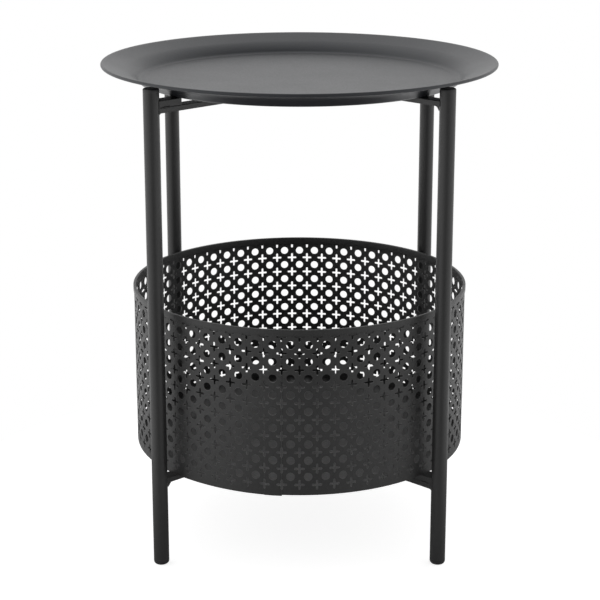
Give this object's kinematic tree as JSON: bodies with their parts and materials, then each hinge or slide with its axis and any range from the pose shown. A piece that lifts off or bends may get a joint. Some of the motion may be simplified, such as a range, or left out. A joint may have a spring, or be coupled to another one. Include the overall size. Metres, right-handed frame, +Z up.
{
  "type": "folding side table",
  "caption": "Round tray side table on a folding stand of two crossed tube frames, with a perforated steel basket held between the legs.",
  "frame": {"origin": "on the floor, on the pivot line of the two frames, below the middle of the tray", "axes": "+Z up along the pivot line; -Y towards the front of the table as it is set up; +X to the right seen from the front"},
  "size_m": [0.41, 0.41, 0.505],
  "materials": {
    "frame_steel": "satin charcoal powder coat on steel tube and flat bar",
    "tray_steel": "satin charcoal powder coat on pressed sheet steel",
    "basket_steel": "matt charcoal powder coat on perforated sheet steel",
    "end_plug_plastic": "moulded matt black plastic",
    "zinc_hardware": "bright zinc plate"
  },
  "bodies": {
    "outer_frame": {"outer_leg_front_right": "frame_steel", "outer_leg_back_left": "frame_steel", "outer_foot_front_right": "end_plug_plastic", "outer_foot_back_left": "end_plug_plastic", "outer_cap_front_right": "end_plug_plastic", "outer_cap_back_left": "end_plug_plastic", "outer_top_bar": "frame_steel", "outer_bottom_bar": "frame_steel", "outer_spacer_front_right": "frame_steel", "outer_spacer_back_left": "frame_steel", "outer_weld_front_right": "frame_steel", "outer_weld_back_left": "frame_steel", "top_pivot_screw": "zinc_hardware", "top_pivot_washer": "zinc_hardware", "top_end_washer": "zinc_hardware", "top_pivot_nut": "zinc_hardware"},
    "inner_frame": {"inner_leg_front_left": "frame_steel", "inner_leg_back_right": "frame_steel", "inner_foot_front_left": "end_plug_plastic", "inner_foot_back_right": "end_plug_plastic", "inner_cap_front_left": "end_plug_plastic", "inner_cap_back_right": "end_plug_plastic", "inner_top_bar": "frame_steel", "inner_bottom_bar": "frame_steel", "inner_spacer_front_left": "frame_steel", "inner_spacer_back_right": "frame_steel", "inner_gusset_front_left": "frame_steel", "inner_gusset_back_right": "frame_steel", "bottom_pivot_screw": "zinc_hardware", "bottom_pivot_washer": "zinc_hardware", "bottom_end_washer": "zinc_hardware", "bottom_pivot_nut": "zinc_hardware"},
    "tray": {"tray": "tray_steel"},
    "basket": {"basket_wall": "basket_steel", "basket_floor": "basket_steel", "basket_binding": "basket_steel"}
  },
  "joints": [
    {"name": "frame_fold", "type": "hinge", "parent": "outer_frame", "child": "inner_frame", "pos_m": [0, 0, 0], "axis": [0, 0, 1], "range_deg": [-78.5, 88.5]},
    {"name": "tray_lift", "type": "slide", "parent": "outer_frame", "child": "tray", "axis": [0, 0, 1], "range_m": [0, 0.15]},
    {"name": "basket_lift", "type": "slide", "parent": "outer_frame", "child": "basket", "axis": [0, 0, 1], "range_m": [0, 0.195]}
  ]
}
